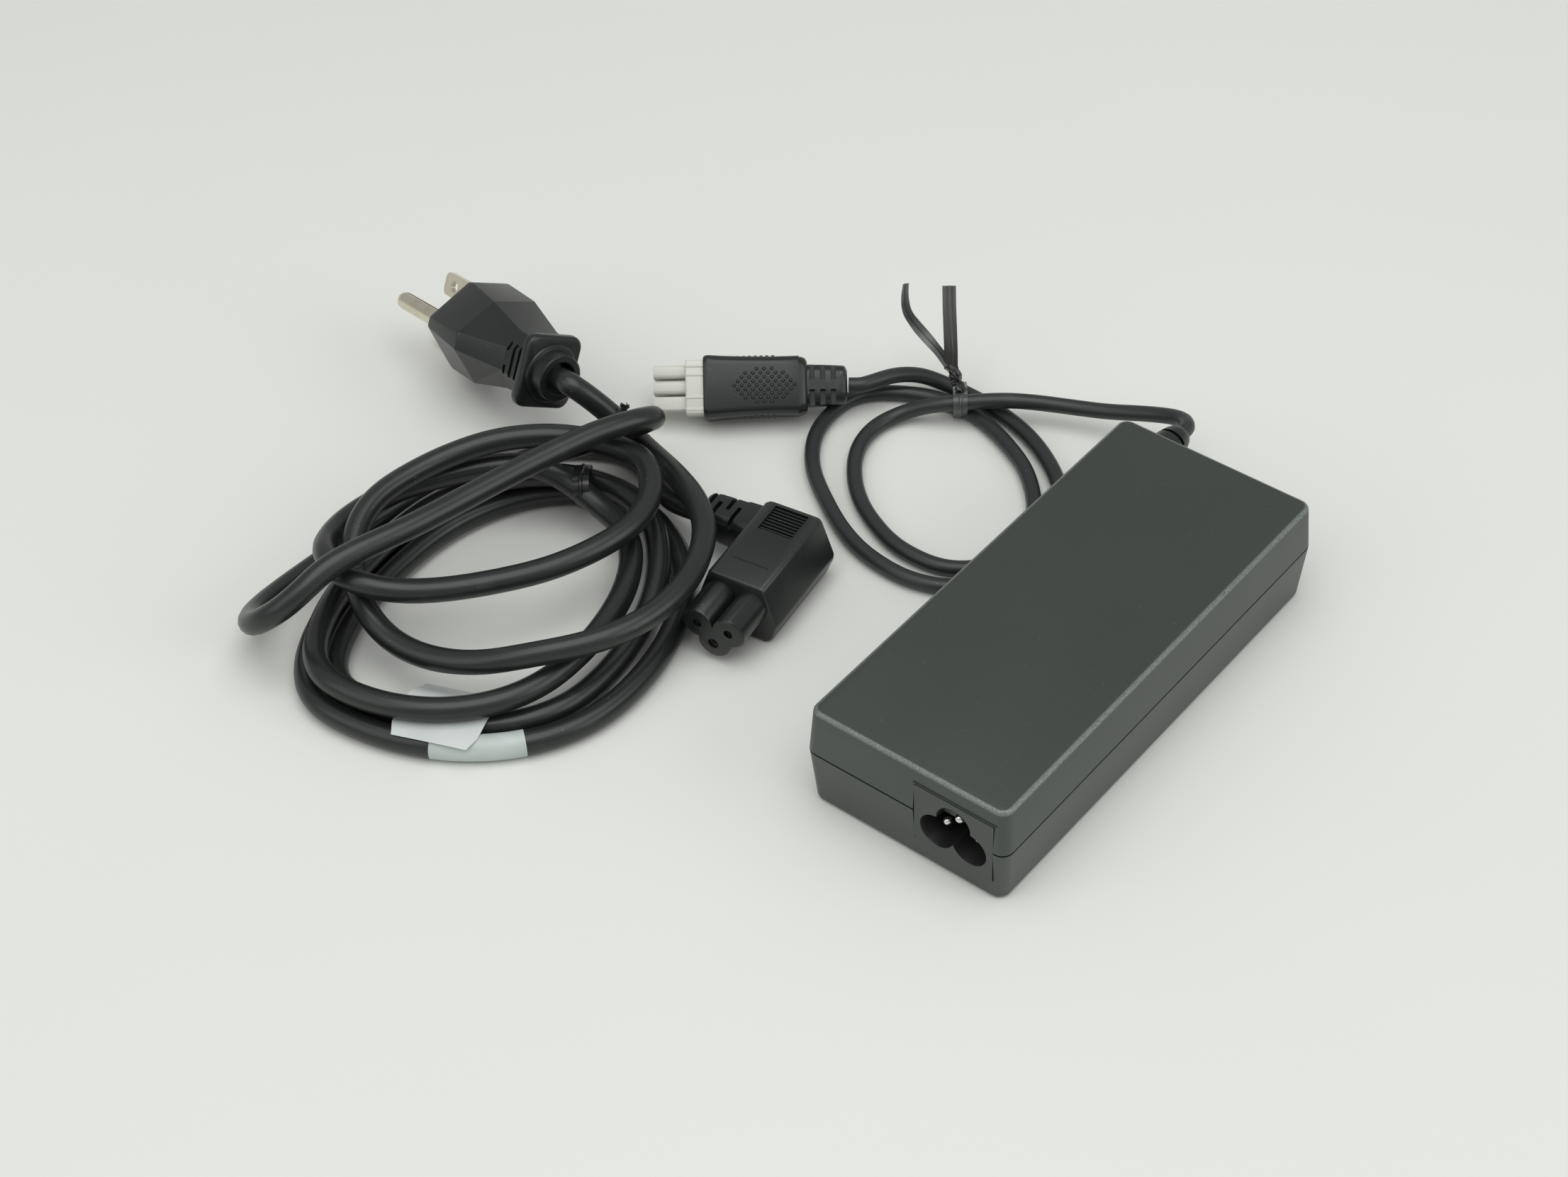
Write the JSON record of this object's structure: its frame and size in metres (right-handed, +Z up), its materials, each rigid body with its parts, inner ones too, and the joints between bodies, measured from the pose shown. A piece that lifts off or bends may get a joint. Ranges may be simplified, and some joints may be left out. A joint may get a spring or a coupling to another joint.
{
  "type": "laptop power adapter",
  "caption": "Brick-shaped laptop power supply with a fixed low-voltage cord and plug, and a detachable mains lead with a right-angle connector and a three-pin plug.",
  "frame": {"origin": "centre of the brick's underside, on the surface that it lies on", "axes": "+X along the brick, from the mains inlet to the low-voltage cord's exit; +Y across the brick, towards the side where the cords lie; +Z up"},
  "size_m": [0.2076, 0.2495, 0.0364],
  "materials": {
    "case_plastic": "fine-textured dark grey case plastic",
    "inlet_plastic": "smooth black insert plastic",
    "pin_metal": "bright nickel plate",
    "brass_metal": "pale nickel-washed brass",
    "cord_jacket": "soft satin cord jacket",
    "mould_plastic": "matt moulded-on plug plastic",
    "housing_white": "natural white connector plastic",
    "tie_plastic": "glossy black flat tie",
    "label_paper": "bare white label",
    "board": "green solder mask",
    "component": "sleeved electronic parts",
    "ferrite": "dark ferrite",
    "tape": "yellow winding tape",
    "heatsink": "bare aluminium",
    "pad": "soft thermal pad",
    "sheet": "insulating fibre sheet"
  },
  "bodies": {
    "adapter": {"bottom_cover": "case_plastic", "top_cover": "case_plastic", "inlet_housing": "inlet_plastic", "inlet_pin_line": "pin_metal", "inlet_pin_neutral": "pin_metal", "inlet_pin_earth": "pin_metal", "inlet_lead_line": "cord_jacket", "inlet_lead_neutral": "cord_jacket", "inlet_lead_earth": "cord_jacket", "circuit_board": "board", "fuse": "component", "varistor": "component", "x_capacitor": "component", "common_mode_choke": "component", "bridge_rectifier": "inlet_plastic", "bulk_capacitor": "component", "transformer_core": "ferrite", "transformer_winding": "tape", "primary_heatsink": "heatsink", "power_transistor": "inlet_plastic", "y_capacitor": "component", "optocoupler": "inlet_plastic", "controller_chip": "inlet_plastic", "secondary_heatsink": "heatsink", "output_rectifier": "inlet_plastic", "output_capacitor_a": "component", "output_capacitor_b": "component", "output_choke": "ferrite", "output_lead_positive": "cord_jacket", "output_lead_return": "cord_jacket", "thermal_pad": "pad", "insulating_sheet": "sheet", "shield_plate": "heatsink", "dc_boot": "mould_plastic", "dc_cord_exit": "cord_jacket", "dc_cord_coil": "cord_jacket", "dc_cord_lead": "cord_jacket", "dc_tie": "tie_plastic", "dc_plug_boot": "mould_plastic", "dc_plug_overmould": "mould_plastic", "dc_connector_housing": "housing_white", "dc_terminals": "brass_metal"},
    "mains_lead": {"connector_body": "mould_plastic", "connector_nose": "mould_plastic", "connector_boot": "mould_plastic", "contact_line": "brass_metal", "contact_neutral": "brass_metal", "contact_earth": "brass_metal", "mains_cord_tail": "cord_jacket", "mains_cord_coil": "cord_jacket", "mains_cord_loose_turns": "cord_jacket", "mains_cord_lead": "cord_jacket", "mains_tie": "tie_plastic", "flag_label": "label_paper", "mains_plug_boss": "mould_plastic", "mains_plug_body": "mould_plastic", "earth_pin": "brass_metal", "blade_line": "brass_metal", "blade_neutral": "brass_metal"}
  },
  "joints": [
    {"name": "mains_lead_lift", "type": "slide", "parent": "adapter", "child": "mains_lead", "axis": [0, 0, 1], "range_m": [0, 0.15]}
  ]
}
